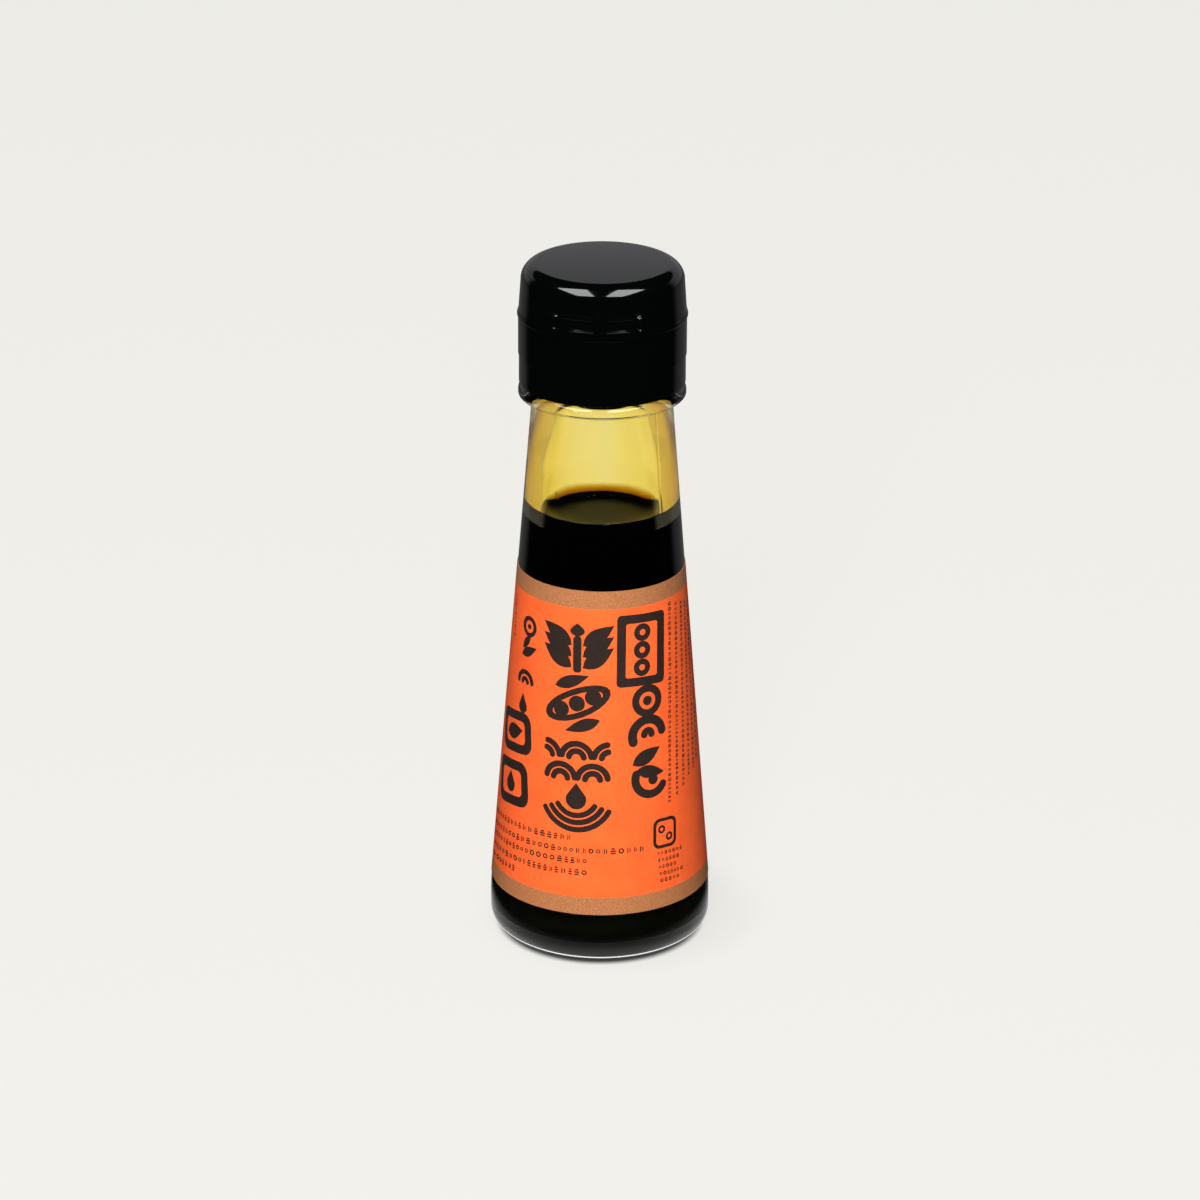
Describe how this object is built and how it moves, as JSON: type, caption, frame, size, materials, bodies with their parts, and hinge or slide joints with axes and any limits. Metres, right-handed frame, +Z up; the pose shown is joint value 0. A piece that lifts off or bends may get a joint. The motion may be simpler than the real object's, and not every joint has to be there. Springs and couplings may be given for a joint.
{
  "type": "soy sauce bottle",
  "caption": "Small conical clear glass table bottle, filled with dark soy sauce to mid neck, with an orange wrap-round paper label and a shut black flip-top cap.",
  "frame": {"origin": "centre of the circle the bottle stands on", "axes": "+Z up along the bottle's axis, -Y towards the cap's thumb tab and the middle of the label"},
  "size_m": [0.049, 0.049, 0.1562],
  "materials": {
    "clear_glass": "clear, fire-polished",
    "soy_sauce": "near-black brown liquid, orange where it thins out at its edge",
    "label_paper": "uncoated orange paper with sparkling bronze bands",
    "cap_plastic": "moulded, polished black"
  },
  "bodies": {
    "root": {"bottle": "clear_glass", "soy_sauce": "soy_sauce", "label": "label_paper", "cap_base": "cap_plastic", "cap_lid": "cap_plastic"}
  },
  "joints": []
}
